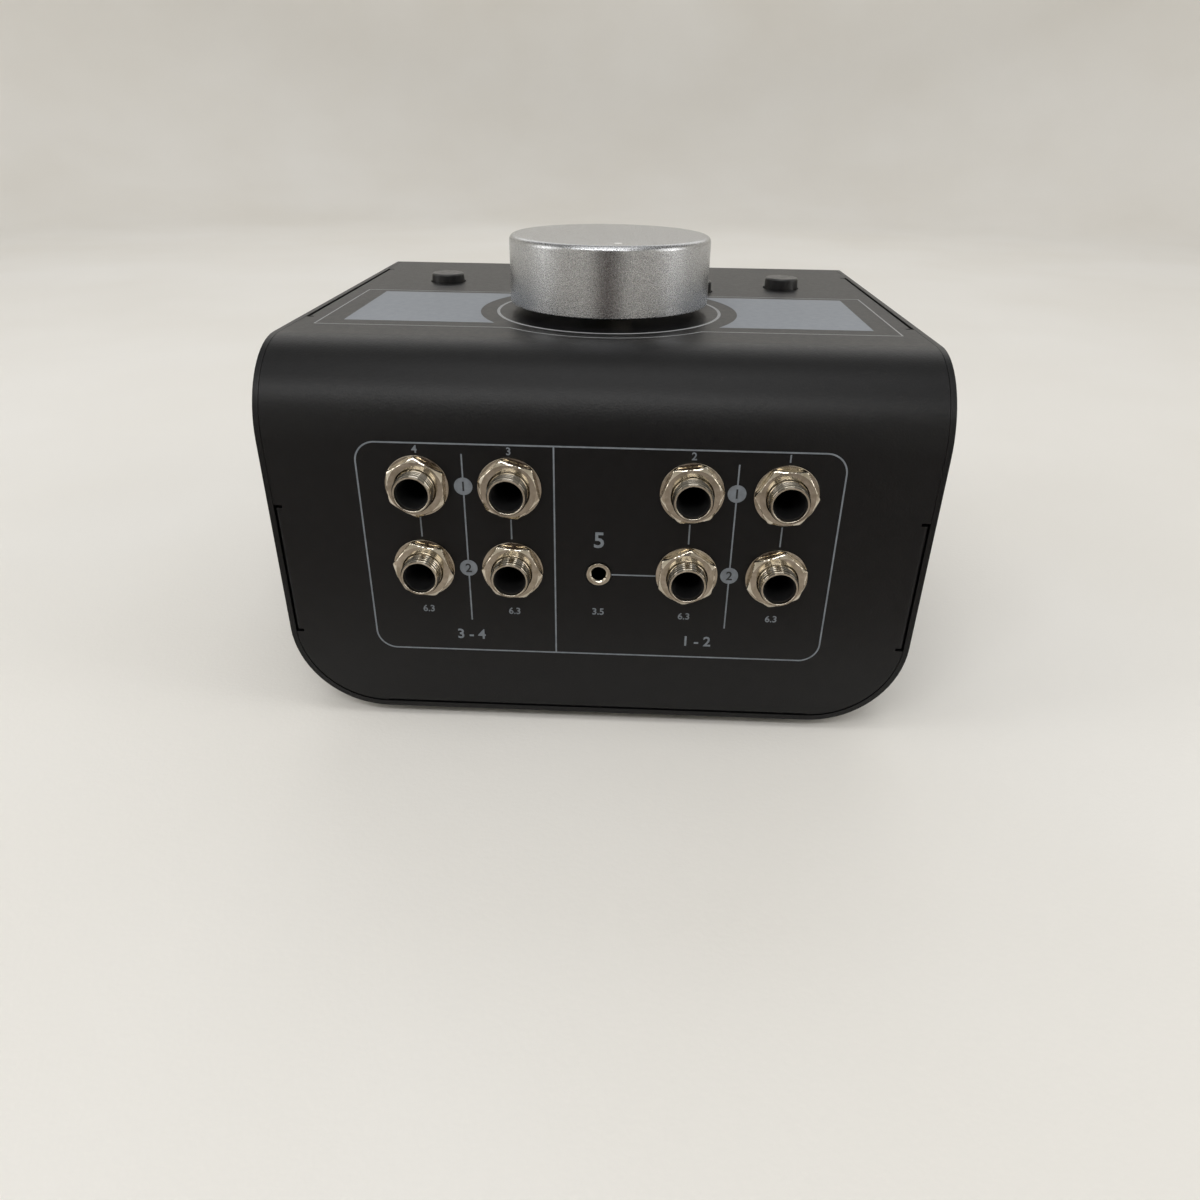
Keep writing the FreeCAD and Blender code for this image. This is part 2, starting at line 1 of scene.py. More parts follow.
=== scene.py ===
# %% [markdown]
# # A desktop monitor controller, seen from its jack panel
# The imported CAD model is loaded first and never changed. Every piece made below stands in the
# same place as the solid it dresses, in metres, and rides on that solid's body.

# %% Load the frame
import bpy
import bmesh
import json
import math
from mathutils import Matrix, Vector


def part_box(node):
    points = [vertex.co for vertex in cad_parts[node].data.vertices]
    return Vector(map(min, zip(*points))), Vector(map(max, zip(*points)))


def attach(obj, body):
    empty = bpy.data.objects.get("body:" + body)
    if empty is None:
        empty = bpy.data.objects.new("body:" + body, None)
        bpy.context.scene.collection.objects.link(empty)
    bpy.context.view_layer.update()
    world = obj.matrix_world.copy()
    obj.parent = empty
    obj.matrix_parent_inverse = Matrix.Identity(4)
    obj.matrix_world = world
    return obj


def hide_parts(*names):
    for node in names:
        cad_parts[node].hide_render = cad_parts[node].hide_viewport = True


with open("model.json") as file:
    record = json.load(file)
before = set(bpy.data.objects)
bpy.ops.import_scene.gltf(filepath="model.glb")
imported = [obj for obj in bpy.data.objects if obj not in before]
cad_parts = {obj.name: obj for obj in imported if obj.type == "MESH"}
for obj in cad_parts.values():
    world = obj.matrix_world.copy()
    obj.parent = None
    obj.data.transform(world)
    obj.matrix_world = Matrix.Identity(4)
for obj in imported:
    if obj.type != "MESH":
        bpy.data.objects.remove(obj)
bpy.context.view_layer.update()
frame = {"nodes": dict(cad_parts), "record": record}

mm = 0.001

# %% [markdown]
# ## Where things are
# The cover gives the two printed faces: its rear wall stands at one Y and its top lies at one Z.
# Both are read from the frame, so a print always lies on its sheet.

# %% Faces that carry print and hardware
cover_low, cover_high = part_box("cover_shell")
knob_low, knob_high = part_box("knob_cap")
rear_y = cover_high.y
top_z = cover_high.z
knob_centre = (knob_low + knob_high) / 2
print("rear wall at", round(rear_y / mm, 2), "top at", round(top_z / mm, 2), "mm")

# %% [markdown]
# ## The camera
# The view is a phone held above the rear edge. Its place was solved from the case's straight
# edges and the jacks' pitch, so it is given as a position, a forward and an up direction.

# %% Camera at the photograph's viewpoint
camera_data = bpy.data.cameras.new("camera")
camera_data.lens = 25.78
camera_data.sensor_width = 36
camera_data.clip_start = 0.01
camera = bpy.data.objects.new("camera", camera_data)
bpy.context.scene.collection.objects.link(camera)
forward = Vector((0.0314, -0.874, -0.4849)).normalized()
upward = Vector((0.0321, -0.484, 0.8745)).normalized()
right = forward.cross(upward).normalized()
upward = right.cross(forward)
turn = Matrix((right, upward, -forward)).transposed().to_4x4()
camera_x, behind_panel, above_desk = -0.00755, 0.1894, 0.14301
camera.matrix_world = Matrix.Translation((camera_x, rear_y + behind_panel, above_desk)) @ turn
bpy.context.scene.camera = camera
bpy.context.scene.view_settings.view_transform = "Standard"
print("camera", tuple(round(v, 4) for v in camera.matrix_world.translation))

# %% [markdown]
# ## Small tools for materials
# A shader tree is built from nodes. One function adds a node, sets its values and joins its
# inputs. Colours are written as they look on a screen and turned to linear light once. Most of a
# noise texture lies between two values near its middle, and the drifts below use that part.

# %% Colour and node helpers
noise_low, noise_high = 0.3, 0.7


def linear(colour):
    """A screen colour such as #1b1b1d as linear light."""
    channels = [int(colour[i:i + 2], 16) / 255 for i in (1, 3, 5)]
    return [c / 12.92 if c <= 0.04045 else ((c + 0.055) / 1.055) ** 2.4 for c in channels] + [1]


def add_node(tree, kind, settings=(), links=()):
    """Adds one node. Settings name its sockets or its own properties, links name its sockets."""
    made = tree.nodes.new(kind)
    for name, value in dict(settings).items():
        if name in made.inputs:
            made.inputs[name].default_value = value
        else:
            setattr(made, name, value)
    for name, source in dict(links).items():
        tree.links.new(source, made.inputs[name])
    return made


def new_finish(name, colour, roughness, metallic=0.0, ior=1.5):
    """A material with its shader and its place on the piece, ready for detail."""
    material = bpy.data.materials.new(name)
    material.use_nodes = True
    tree = material.node_tree
    shader = tree.nodes["Principled BSDF"]
    shader.inputs["Base Color"].default_value = linear(colour)
    shader.inputs["Roughness"].default_value = roughness
    shader.inputs["Metallic"].default_value = metallic
    shader.inputs["IOR"].default_value = ior
    place = add_node(tree, "ShaderNodeTexCoord").outputs["Object"]
    return material, tree, shader, place


def noise(tree, place, size, detail):
    """Cloudy noise whose patches have a real size in mm."""
    settings = {"Scale": 1 / (size * mm), "Detail": detail}
    return add_node(tree, "ShaderNodeTexNoise", settings, {"Vector": place}).outputs["Fac"]


def mottle(tree, shader, place, size, dark, light, detail=3.0):
    """Colour that drifts between two tones over patches of a real size in mm."""
    ramp = add_node(tree, "ShaderNodeValToRGB", {}, {"Fac": noise(tree, place, size, detail)})
    ramp.color_ramp.elements[0].position = noise_low
    ramp.color_ramp.elements[1].position = noise_high
    ramp.color_ramp.elements[0].color = linear(dark)
    ramp.color_ramp.elements[1].color = linear(light)
    tree.links.new(ramp.outputs["Color"], shader.inputs["Base Color"])


def grain(tree, shader, place, size, depth):
    """Bumps of a real size and depth in mm."""
    settings = {"Distance": depth * mm, "Strength": 1.0}
    bump = add_node(tree, "ShaderNodeBump", settings, {"Height": noise(tree, place, size, 2.0)})
    tree.links.new(bump.outputs["Normal"], shader.inputs["Normal"])


def uneven_gloss(tree, shader, place, size, low, high):
    """Roughness that drifts between two values over patches of a real size in mm."""
    settings = {"From Min": noise_low, "From Max": noise_high, "To Min": low, "To Max": high}
    spread = add_node(tree, "ShaderNodeMapRange", settings, {"Value": noise(tree, place, size, 4.0)})
    tree.links.new(spread.outputs["Result"], shader.inputs["Roughness"])


print("helpers ready")

# %% [markdown]
# ## Powder coat
# The case is sheet steel under a satin black powder coat. The powder melts into a skin with a
# fine orange peel, which spreads a lamp into a soft band on the bends and turns pale where the
# eye meets it at a low angle. A plain gloss value would show a hard mirror band, so the peel is
# a bump of about half a millimetre, and the gloss drifts a little.

# %% Satin black powder coat
powder_coat, tree, shader, place = new_finish("powder_coat_satin_black", "#0a0a0b", 0.41, ior=1.37)
mottle(tree, shader, place, 3, "#09090a", "#0b0b0d")
uneven_gloss(tree, shader, place, 1.5, 0.39, 0.43)
grain(tree, shader, place, 0.5, 0.035)
print(powder_coat.name)

# %% [markdown]
# ## Blasted aluminium
# The knob is turned aluminium, blasted with glass beads and anodised clear. Each bead leaves a
# tiny dent, so the metal sparkles in grains. A real dent is about a tenth of a millimetre. The
# grains here are drawn at about a quarter of a millimetre so that they show at this distance.

# %% Bead blasted anodised aluminium
blasted, tree, shader, place = new_finish("aluminium_bead_blasted", "#b4b5b7", 0.28, metallic=1.0)
mottle(tree, shader, place, 0.25, "#9d9ea0", "#cbccce", 1.0)
uneven_gloss(tree, shader, place, 0.3, 0.2, 0.33)
grain(tree, shader, place, 0.25, 0.045)
print(blasted.name)

# %% [markdown]
# ## Plated and bare metals
# Nuts, washers and jack noses are brass under bright nickel, which looks warmer than steel.
# Screws and the pot's cup are zinc plated, duller and bluer. The jacks' springs are tinned
# bronze. All three are metals, so their colour is their reflection.

# %% Nickel, zinc and bronze
nickel, tree, shader, place = new_finish("nickel_plate_bright", "#cbc2b1", 0.11, metallic=1.0)
mottle(tree, shader, place, 2, "#b7ae9c", "#dad2c4")
uneven_gloss(tree, shader, place, 1.0, 0.07, 0.16)
grain(tree, shader, place, 1.4, 0.02)
zinc, tree, shader, place = new_finish("zinc_plated_steel", "#a9adb2", 0.34, metallic=1.0)
mottle(tree, shader, place, 2, "#9a9ea4", "#b6babf")
uneven_gloss(tree, shader, place, 0.8, 0.28, 0.42)
bronze, tree, shader, place = new_finish("tinned_spring_bronze", "#c8b796", 0.28, metallic=1.0)
mottle(tree, shader, place, 2, "#b6a27c", "#d2c6ab")
print(nickel.name, zinc.name, bronze.name)

# %% [markdown]
# ## Plastics and rubber
# Button caps are moulded ABS with a fine satin grain. Jack and switch bodies are a duller
# moulded nylon. The boards are glass laminate under green solder mask, the ribbon is soft PVC,
# and the feet are matt rubber.

# %% Moulded parts
button_abs, tree, shader, place = new_finish("abs_button_satin", "#101011", 0.34, ior=1.53)
uneven_gloss(tree, shader, place, 1.5, 0.28, 0.4)
grain(tree, shader, place, 0.3, 0.01)
nylon, tree, shader, place = new_finish("nylon_moulded_black", "#151516", 0.5, ior=1.53)
grain(tree, shader, place, 0.4, 0.015)
mottle(tree, shader, place, 5, "#121213", "#1b1b1c")
mask, tree, shader, place = new_finish("solder_mask_green", "#17603a", 0.3, ior=1.5)
mottle(tree, shader, place, 9, "#125030", "#1b6b41")
ribbon_pvc, tree, shader, place = new_finish("pvc_ribbon_grey", "#a6a7a8", 0.45, ior=1.53)
mottle(tree, shader, place, 4, "#9c9d9e", "#b0b1b2")
rubber, tree, shader, place = new_finish("rubber_matt_black", "#151515", 0.8, ior=1.52)
grain(tree, shader, place, 0.6, 0.03)
mottle(tree, shader, place, 4, "#121212", "#1c1c1c")
print("moulded finishes ready")

# %% [markdown]
# ## Inks
# Lines and numbers are screen printed. Screen ink is a matt film some hundredths of a
# millimetre thick with a slightly patchy cover, so each ink has a small drift in tone.

# %% Screen printing inks
line_ink, tree, shader, place = new_finish("screen_ink_grey", "#6f757c", 0.6)
mottle(tree, shader, place, 1.5, "#666c73", "#777d84")
panel_ink, tree, shader, place = new_finish("screen_ink_blue_grey", "#868b92", 0.62)
mottle(tree, shader, place, 2, "#82878e", "#898e95")
top_ink, tree, shader, place = new_finish("screen_ink_pale_grey", "#9a9c9e", 0.6)
mottle(tree, shader, place, 1.5, "#919395", "#a3a5a7")
dark_ink, tree, shader, place = new_finish("screen_ink_black", "#1c1d1f", 0.6)
mottle(tree, shader, place, 2, "#18191b", "#222325")
pointer_paint, tree, shader, place = new_finish("pointer_paint_white", "#eeeeec", 0.4)
mottle(tree, shader, place, 0.8, "#e4e4e1", "#f4f4f2")
print("inks ready")

# %% [markdown]
# ## Dress the CAD nodes
# Solids whose shape is already right keep it and take a better finish. The record says which
# slot each node has, so one table from slot to finish dresses them all.

# %% Finish per slot
finish_of = {
    "powder_black": powder_coat,
    "knob_silver": blasted,
    "button_black": button_abs,
    "nickel_plate": nickel,
    "contact_bronze": bronze,
    "moulded_black": nylon,
    "board_green": mask,
    "zinc_steel": zinc,
    "foot_rubber": rubber,
    "ribbon_grey": ribbon_pvc,
}
slot_of = {part["node"]: part["material_slot"] for part in frame["record"]["subparts"]}
for name, solid in frame["nodes"].items():
    for i in range(len(solid.material_slots)):
        solid.material_slots[i].material = finish_of[slot_of[name]]
print("dressed", len(slot_of), "nodes")

# %% [markdown]
# ## Small tools for shapes
# Most small parts here are turned, so one helper spins an outline round an axis. Another rounds
# edges with a bevel, because every real edge catches a line of light. The last one turns the
# finished mesh into an object that rides on its body.

# %% Shape helpers
def lathe(outline, steps=96, closed=True):
    """Spins an outline of (radius, height) pairs in mm round Z."""
    bm = bmesh.new()
    points = [bm.verts.new((radius * mm, 0, height * mm)) for radius, height in outline]
    pairs = list(zip(points, points[1:])) + ([(points[-1], points[0])] if closed else [])
    lines = [bm.edges.new(pair) for pair in pairs]
    bmesh.ops.spin(bm, geom=points + lines, cent=(0, 0, 0), axis=(0, 0, 1), dvec=(0, 0, 0),
                   angle=2 * math.pi, steps=steps, use_merge=True)
    bmesh.ops.remove_doubles(bm, verts=bm.verts, dist=1e-7)
    bmesh.ops.recalc_face_normals(bm, faces=bm.faces)
    return bm


def soften(bm, width, segments=2, where=lambda middle: True, sharper=30):
    """Bevels the sharp edges whose middle passes the test. The width is in mm."""
    edges = [
        e for e in bm.edges
        if len(e.link_faces) == 2 and e.calc_face_angle() > math.radians(sharper)
        and where((e.verts[0].co + e.verts[1].co) / 2 / mm)]
    bmesh.ops.bevel(bm, geom=edges, offset=width * mm, offset_type="OFFSET", segments=segments,
                    profile=0.5, affect="EDGES", clamp_overlap=True, material=-1)
    return bm


def gather(parts):
    """One mesh from several, each given with its place."""
    whole = bmesh.new()
    for bm, where in parts:
        mesh = bpy.data.meshes.new("part")
        bm.to_mesh(mesh)
        mesh.transform(where)
        whole.from_mesh(mesh)
        bpy.data.meshes.remove(mesh)
    return whole


def piece(bm, name, finish, body, nodes=(), crease=35):
    """A finished object at the origin that rides on a body and may stand for CAD nodes."""
    mesh = bpy.data.meshes.new(name)
    bm.to_mesh(mesh)
    bm.free()
    mesh.materials.append(finish)
    mesh.shade_smooth()
    mesh.set_sharp_from_angle(angle=math.radians(crease))
    obj = bpy.data.objects.new(name, mesh)
    bpy.context.scene.collection.objects.link(obj)
    even = obj.modifiers.new("even_normals", "WEIGHTED_NORMAL")
    even.keep_sharp = True
    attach(obj, body)
    if nodes:
        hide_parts(*nodes)
    print(name, len(mesh.polygons), "faces")


# %% [markdown]
# ## The folded case
# The tray and the cover are bent sheets. Their solids already have the bends, the flanges and
# every hole, but a solid's mesh is loose triangles with knife edges. A copy is merged, its flat
# triangles are joined, and the sheet's edges get the tiny radius that punching leaves.

# %% Tray and cover
def refined(node, width):
    """A merged copy of a CAD node with its sharp edges rounded. The width is in mm."""
    bm = bmesh.new()
    bm.from_mesh(frame["nodes"][node].data)
    bmesh.ops.remove_doubles(bm, verts=bm.verts, dist=2e-6)
    bmesh.ops.dissolve_limit(bm, angle_limit=math.radians(0.5), verts=bm.verts, edges=bm.edges)
    bmesh.ops.recalc_face_normals(bm, faces=bm.faces)
    return soften(bm, width, 2, sharper=50)


for node, name, width in (("chassis_tray", "tray_sheet", 0.18), ("cover_shell", "cover_sheet", 0.15)):
    piece(refined(node, width), name, powder_coat, "case", [node], 40)

# %% [markdown]
# ## The volume knob
# A turned cup with a soft top edge, which shows as a bright line along the near rim. It is spun
# from its section. The two outer edges are then bevelled by their own radii. The pointer is a
# shallow dimple filled with white paint, drawn as a thin domed disc that stands a hair above the
# turned face. An edge counts as lying on a face when it is within a tenth of a millimetre of it.

# %% Knob
near = 0.1
pointer_proud = 0.05
knob_radius = (knob_high.x - knob_low.x) / 2 / mm
knob_height = (knob_high.z - knob_low.z) / mm - pointer_proud
knob_wall = 2.3
knob_edge = 1.5
knob_foot_edge = 0.25
inner_radius = knob_radius - knob_wall
ceiling = knob_height - knob_wall
section = [(0, ceiling), (inner_radius, ceiling), (inner_radius, 0), (knob_radius, 0),
           (knob_radius, knob_height), (0, knob_height)]
knob = lathe(section, 160, closed=False)
soften(knob, knob_edge, 8, lambda p: p.z > knob_height - near and p.xy.length > knob_radius - near)
soften(knob, knob_foot_edge, 2, lambda p: p.z < near)
on_knob = Matrix.Translation((knob_centre.x, knob_centre.y, knob_low.z))
piece(gather([(knob, on_knob)]), "knob_turned", blasted, "volume_knob", ["knob_cap"])

# %% Pointer
pointer_radius = 1.0
pointer_offset = 20.8
pointer_turn = math.radians(7.2)
pointer_depth = 0.1
dome = [(pointer_radius, 0.01), (pointer_radius * 0.6, 0.04), (0, pointer_proud)]
pointer = lathe([(0, -pointer_depth), (pointer_radius, -pointer_depth)] + dome, 32, closed=False)
spot = Matrix.Translation((-math.sin(pointer_turn) * pointer_offset * mm + knob_centre.x,
                           math.cos(pointer_turn) * pointer_offset * mm + knob_centre.y,
                           knob_high.z - pointer_proud * mm))
piece(gather([(pointer, spot)]), "pointer_dot", pointer_paint, "volume_knob")

# %% [markdown]
# ## Push buttons
# Round caps with a slight taper and a worn-in rounded crown. Each stands where its solid does,
# so the latched one stays lower than its neighbours.

# %% Button caps
button_radius = 5.3
crown_radius = 5.05
crown_edge = 0.6
for name in ("output", "dim", "mute", "mono", "source"):
    node = "button_cap_" + name
    low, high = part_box(node)
    tall = (high.z - low.z) / mm
    cap = lathe([(0, 0), (button_radius, 0), (crown_radius, tall), (0, tall)], 72, closed=False)
    soften(cap, crown_edge, 5, lambda p: p.z > tall - near)
    at = Matrix.Translation(((low.x + high.x) / 2, (low.y + high.y) / 2, low.z))
    piece(gather([(cap, at)]), "button_" + name, button_abs, name + "_button", [node])

# %% [markdown]
# ## Jack hardware
# Each 6.35 mm jack shows a threaded nose, a hexagonal nut with chamfered corners and a plain
# washer. The thread is cut as grooves in the spun outline. A nut is spun round and then pressed
# in to six flats, so its chamfer gives the curved edges of a real nut.

# %% Flats on a round blank
def press_flats(bm, sides, flats, low, high):
    """Draws points between two heights in to a polygon, where they stand outside it. Sizes in mm."""
    half = math.pi / sides
    for v in bm.verts:
        if low - 1e-6 <= v.co.z / mm <= high + 1e-6:
            angle = math.atan2(v.co.y, v.co.x)
            off_corner = (angle + half) % (2 * half) - half
            limit = flats / 2 * mm / math.cos(half - abs(off_corner))
            radius = v.co.xy.length
            if radius > limit:
                v.co.x *= limit / radius
                v.co.y *= limit / radius
    return bm


outward = Matrix.Rotation(-math.pi / 2, 4, "X")
jacks = []
for column in ("output_2", "output_1", "input_2", "input_1"):
    for row in ("left", "right"):
        name = column + "_" + row
        low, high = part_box("jack_barrel_" + name)
        jacks.append((name, Vector(((low.x + high.x) / 2, low.y, (low.z + high.z) / 2)), high.y - low.y))
print(len(jacks), "jacks, noses", round(jacks[0][2] / mm, 2), "mm long")

# %% [markdown]
# ### The threaded nose
# The thread of such a jack is 9.5 mm across with 32 turns to the inch, a pitch of 0.8 mm. Seen
# this far along its axis that is too fine to show, so the turns are drawn 0.9 mm apart. The nose
# is a thin sleeve with a rolled lip, and ends in the square flange that sits in the moulded body.
# The plug runs in a black moulded lining, set a little back from the lip, so the mouth is dark.

# %% Threaded noses
thread_radius = 4.75
thread_root = 4.42
thread_pitch = 0.9
crest_width = 0.15
root_drop = thread_pitch / 2 + 0.07
thread_start = 1.0
plain_shank = 3
sleeve_radius = 3.95
lip_radius = 4.5
flange_width = 10.4
flange_thickness = 1.2
blank_radius = 8.0
for name, base, length in jacks:
    tall = length / mm
    outline = [(sleeve_radius, 0), (blank_radius, 0), (blank_radius, flange_thickness),
               (thread_root, flange_thickness)]
    height = tall - thread_start
    crests = []
    while height > flange_thickness + plain_shank:
        crests += [(thread_radius, height), (thread_radius, height - crest_width),
                   (thread_root, height - root_drop)]
        height -= thread_pitch
    outline += crests[::-1] + [(thread_root, tall - 0.55), (lip_radius, tall - 0.4),
                               (lip_radius, tall - 0.14), (lip_radius - 0.1, tall)]
    outline += [(4.12, tall), (4.0, tall - 0.06), (sleeve_radius, tall - 0.2)]
    nose = press_flats(lathe(outline, 96), 4, flange_width, -0.01, flange_thickness)
    square_up = Matrix.Rotation(math.pi / 4, 3, "Z")
    bmesh.ops.rotate(nose, verts=nose.verts, cent=(0, 0, 0), matrix=square_up)
    at = Matrix.Translation(base) @ outward
    node = "jack_barrel_" + name
    piece(gather([(nose, at)]), "nose_" + name, nickel, "case", [node], 50)

# %% Moulded linings
bore_radius = 3.25
lining_setback = 1.0
lining_radius = sleeve_radius - 0.03
lining_lip = 0.15
funnel_depth = 2.5
linings = []
for name, base, length in jacks:
    tall = length / mm - lining_setback
    tube = lathe([(bore_radius, 0), (lining_radius, 0), (lining_radius, tall),
                  (lining_radius - lining_lip, tall), (bore_radius, tall - funnel_depth)], 64)
    linings.append((tube, Matrix.Translation(base) @ outward))
piece(gather(linings), "jack_linings", nylon, "case")

# %% [markdown]
# ### Nuts and washers
# No two nuts were left at the same turn, which is what hand tightening gives. The angle is that
# of one corner from straight down, positive towards the right of someone facing the panel.

# %% Chamfered nuts
nut_low, nut_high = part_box("jack_nuts")
nut_thickness = (nut_high.y - nut_low.y) / mm
nut_flats = 13.2
face_circle = nut_flats / 2 - 0.1
chamfer = 0.55
hole_radius = 4.8
countersink = 0.3
steps = 8
slope = [(face_circle + (blank_radius - face_circle) * k / steps, chamfer * 1.6 * k / steps)
         for k in range(steps + 1)]
blank = [(hole_radius, countersink), (hole_radius + countersink, 0)] + slope
blank += [(radius, nut_thickness - height) for radius, height in reversed(slope)]
blank += [(hole_radius + countersink, nut_thickness), (hole_radius, nut_thickness - countersink)]
nut = press_flats(lathe(blank, 96), 6, nut_flats, -0.01, nut_thickness)
bmesh.ops.remove_doubles(nut, verts=nut.verts, dist=1e-6)
nut_turns = [0, 19, 13, 26, -22, -5, 29, -10]
placed = []
for (name, base, length), turn_angle in zip(jacks, nut_turns):
    centre = Vector((base.x, nut_low.y, base.z))
    tightened = Matrix.Rotation(math.radians(90 + turn_angle), 4, "Z")
    placed.append((nut, Matrix.Translation(centre) @ outward @ tightened))
piece(gather(placed), "nuts_chamfered", nickel, "case", ["jack_nuts"], 25)

# %% Round washers
washer_low, washer_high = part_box("jack_washers")
washer_thickness = (washer_high.y - washer_low.y) / mm
washer_radius = 7.6
washer_hole = 4.85
ring = lathe([(washer_hole, 0), (washer_radius, 0), (washer_radius, washer_thickness),
              (washer_hole, washer_thickness)], 96)
soften(ring, 0.16, 2)
placed = [(ring, Matrix.Translation((base.x, washer_low.y, base.z)) @ outward)
          for name, base, length in jacks]
piece(gather(placed), "washers_stamped", nickel, "case", ["jack_washers"])

# %% [markdown]
# ### The small jack
# Only a bright collar shows, almost flush with the panel.

# %% Small jack collar
low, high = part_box("mini_jack_collar")
tall = (high.y - low.y) / mm
small_bore, collar_radius, mouth_chamfer = 1.8, 3.0, 0.4
collar = lathe([(small_bore, 0), (collar_radius, 0), (collar_radius, tall),
                (small_bore + mouth_chamfer, tall), (small_bore, tall - mouth_chamfer)], 72)
soften(collar, 0.12, 3, lambda p: p.z > tall - near)
at = Matrix.Translation(((low.x + high.x) / 2, low.y, (low.z + high.z) / 2)) @ outward
piece(gather([(collar, at)]), "collar_small_jack", nickel, "case", ["mini_jack_collar"])

# %% [markdown]
# ## Print on the panels
# A print is a film of ink, so it is drawn flat in mm, given a few hundredths of a millimetre of
# thickness, and laid on its sheet. Where two inks cross, one film is a little thicker, as a
# second pass of the screen leaves it.

# %% Print helpers
def film(bm, faces, height):
    """Gives flat faces the thickness of an ink film in mm."""
    grown = bmesh.ops.extrude_face_region(bm, geom=faces, use_keep_orig=True)
    tops = [v for v in grown["geom"] if isinstance(v, bmesh.types.BMVert)]
    bmesh.ops.translate(bm, verts=tops, vec=(0, 0, height * mm))


def bar(bm, low_x, low_y, high_x, high_y, height=0.03):
    """A straight line or a filled rectangle."""
    corners = [(low_x, low_y), (high_x, low_y), (high_x, high_y), (low_x, high_y)]
    face = bm.faces.new([bm.verts.new((x * mm, y * mm, 0)) for x, y in corners])
    film(bm, [face], height)


def band(bm, x, y, radius, width, start=0, end=360, height=0.03):
    """A round line, from one angle to another in degrees."""
    a = math.radians(start)
    ends = [bm.verts.new(((x + r * math.cos(a)) * mm, (y + r * math.sin(a)) * mm, 0))
            for r in (radius - width / 2, radius + width / 2)]
    line = bm.edges.new(ends)
    steps = max(8, int(abs(end - start) / 2))
    bmesh.ops.spin(bm, geom=ends + [line], cent=(x * mm, y * mm, 0), axis=(0, 0, 1), dvec=(0, 0, 0),
                   angle=math.radians(end - start), steps=steps, use_merge=(end - start == 360))
    faces = {f for v in ends for f in v.link_faces}
    grown = True
    while grown:
        grown = {n for f in faces for e in f.edges for n in e.link_faces} - faces
        faces |= grown
    film(bm, list(faces), height)


def disc(bm, x, y, radius, height=0.04):
    """A filled round spot."""
    made = bmesh.ops.create_circle(bm, cap_ends=True, segments=48, radius=radius * mm,
                                   matrix=Matrix.Translation((x * mm, y * mm, 0)))
    film(bm, list({f for v in made["verts"] for f in v.link_faces}), height)


def number(bm, text, x, y, tall, height=0.05):
    """Plain numbers of a real height, centred on a point."""
    curve = bpy.data.curves.new("number", "FONT")
    curve.body = text
    curve.align_x = "CENTER"
    curve.align_y = "CENTER"
    curve.resolution_u = 3
    curve.offset = 0.018
    holder = bpy.data.objects.new("number", curve)
    bpy.context.scene.collection.objects.link(holder)
    flat = bpy.data.meshes.new_from_object(holder.evaluated_get(bpy.context.evaluated_depsgraph_get()))
    heights = [v.co.y for v in flat.vertices]
    middles = [v.co.x for v in flat.vertices]
    scale = tall * mm / (max(heights) - min(heights))
    shift = Vector((-(max(middles) + min(middles)) / 2, -(max(heights) + min(heights)) / 2, 0))
    at = Matrix.Translation((x * mm, y * mm, 0))
    flat.transform(at @ Matrix.Scale(scale, 4) @ Matrix.Translation(shift))
    before = set(bm.faces)
    bm.from_mesh(flat)
    film(bm, [f for f in bm.faces if f not in before], height)
    bpy.data.objects.remove(holder)
    bpy.data.curves.remove(curve)
    bpy.data.meshes.remove(flat)


def lay(bm, name, ink, where):
    """Lays a print on its sheet."""
    bmesh.ops.recalc_face_normals(bm, faces=bm.faces)
    piece(gather([(bm, where)]), name, ink, "case")


rear_plane = Matrix(((-1, 0, 0, 0), (0, 0, 1, rear_y), (0, 1, 0, 0), (0, 0, 0, 1)))
top_plane = Matrix.Translation((0, 0, top_z))
print("print tools ready")

# %% [markdown]
# ### Rear panel
# A thin frame with round corners goes round all the jacks, and one line divides the two groups.
# Fine lines tie the jacks of a column together and carry a spot beside each row. Panels like
# this are numbered, so plain numbers stand by the jacks and nothing else is written.
# X is measured here to the right of someone facing the panel, and Y is the height in mm.

# %% Rear frame line
frame_print = bmesh.new()
left, right_side, low, high = -57.2, 57.2, 21.9, 77.9
corner, width, divider = 5.0, 0.38, -10.5
bar(frame_print, left + corner, low - width / 2, right_side - corner, low + width / 2)
bar(frame_print, left + corner, high - width / 2, right_side - corner, high + width / 2)
bar(frame_print, left - width / 2, low + corner, left + width / 2, high - corner)
bar(frame_print, right_side - width / 2, low + corner, right_side + width / 2, high - corner)
band(frame_print, left + corner, low + corner, corner, width, 180, 270)
band(frame_print, right_side - corner, low + corner, corner, width, 270, 360)
band(frame_print, right_side - corner, high - corner, corner, width, 0, 90)
band(frame_print, left + corner, high - corner, corner, width, 90, 180)
bar(frame_print, divider - width / 2, low + width / 2, divider + width / 2, high - width / 2)
lay(frame_print, "print_rear_frame", line_ink, rear_plane)

# %% Rear lines, spots and numbers
upper, lower = jacks[0][1].z / mm, jacks[1][1].z / mm
small_low, small_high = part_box("mini_jack_collar")
small_row = (small_low.z + small_high.z) / 2 / mm
column_numbers = ((-43, "4"), (-21, "3"), (22, "2"), (44, "1"))
spot_lines = ((-32.05, 31.0, 75.5), (32.5, 30.8, 74.7))
half_line, clear_of_nut, spot_radius = 0.18, 8.2, 2.2
small_digit, group_digit, large_digit = 1.9, 2.9, 4.2
small_x, group_y = 0.3, 26.7
rear_print = bmesh.new()
for x, text in column_numbers:
    bar(rear_print, x - half_line, lower + clear_of_nut, x + half_line, upper - clear_of_nut)
for x, low, high in spot_lines:
    bar(rear_print, x - half_line, low, x + half_line, high)
for x, low, high in spot_lines:
    for z in (upper, lower):
        disc(rear_print, x, z, spot_radius)
bar(rear_print, 3.4, small_row - half_line, 14.4, small_row + half_line)
for x, text in column_numbers:
    number(rear_print, text, x, 76.45, small_digit)
    number(rear_print, "6.3", x, 34.0, small_digit)
number(rear_print, "5", small_x, 54.5, large_digit)
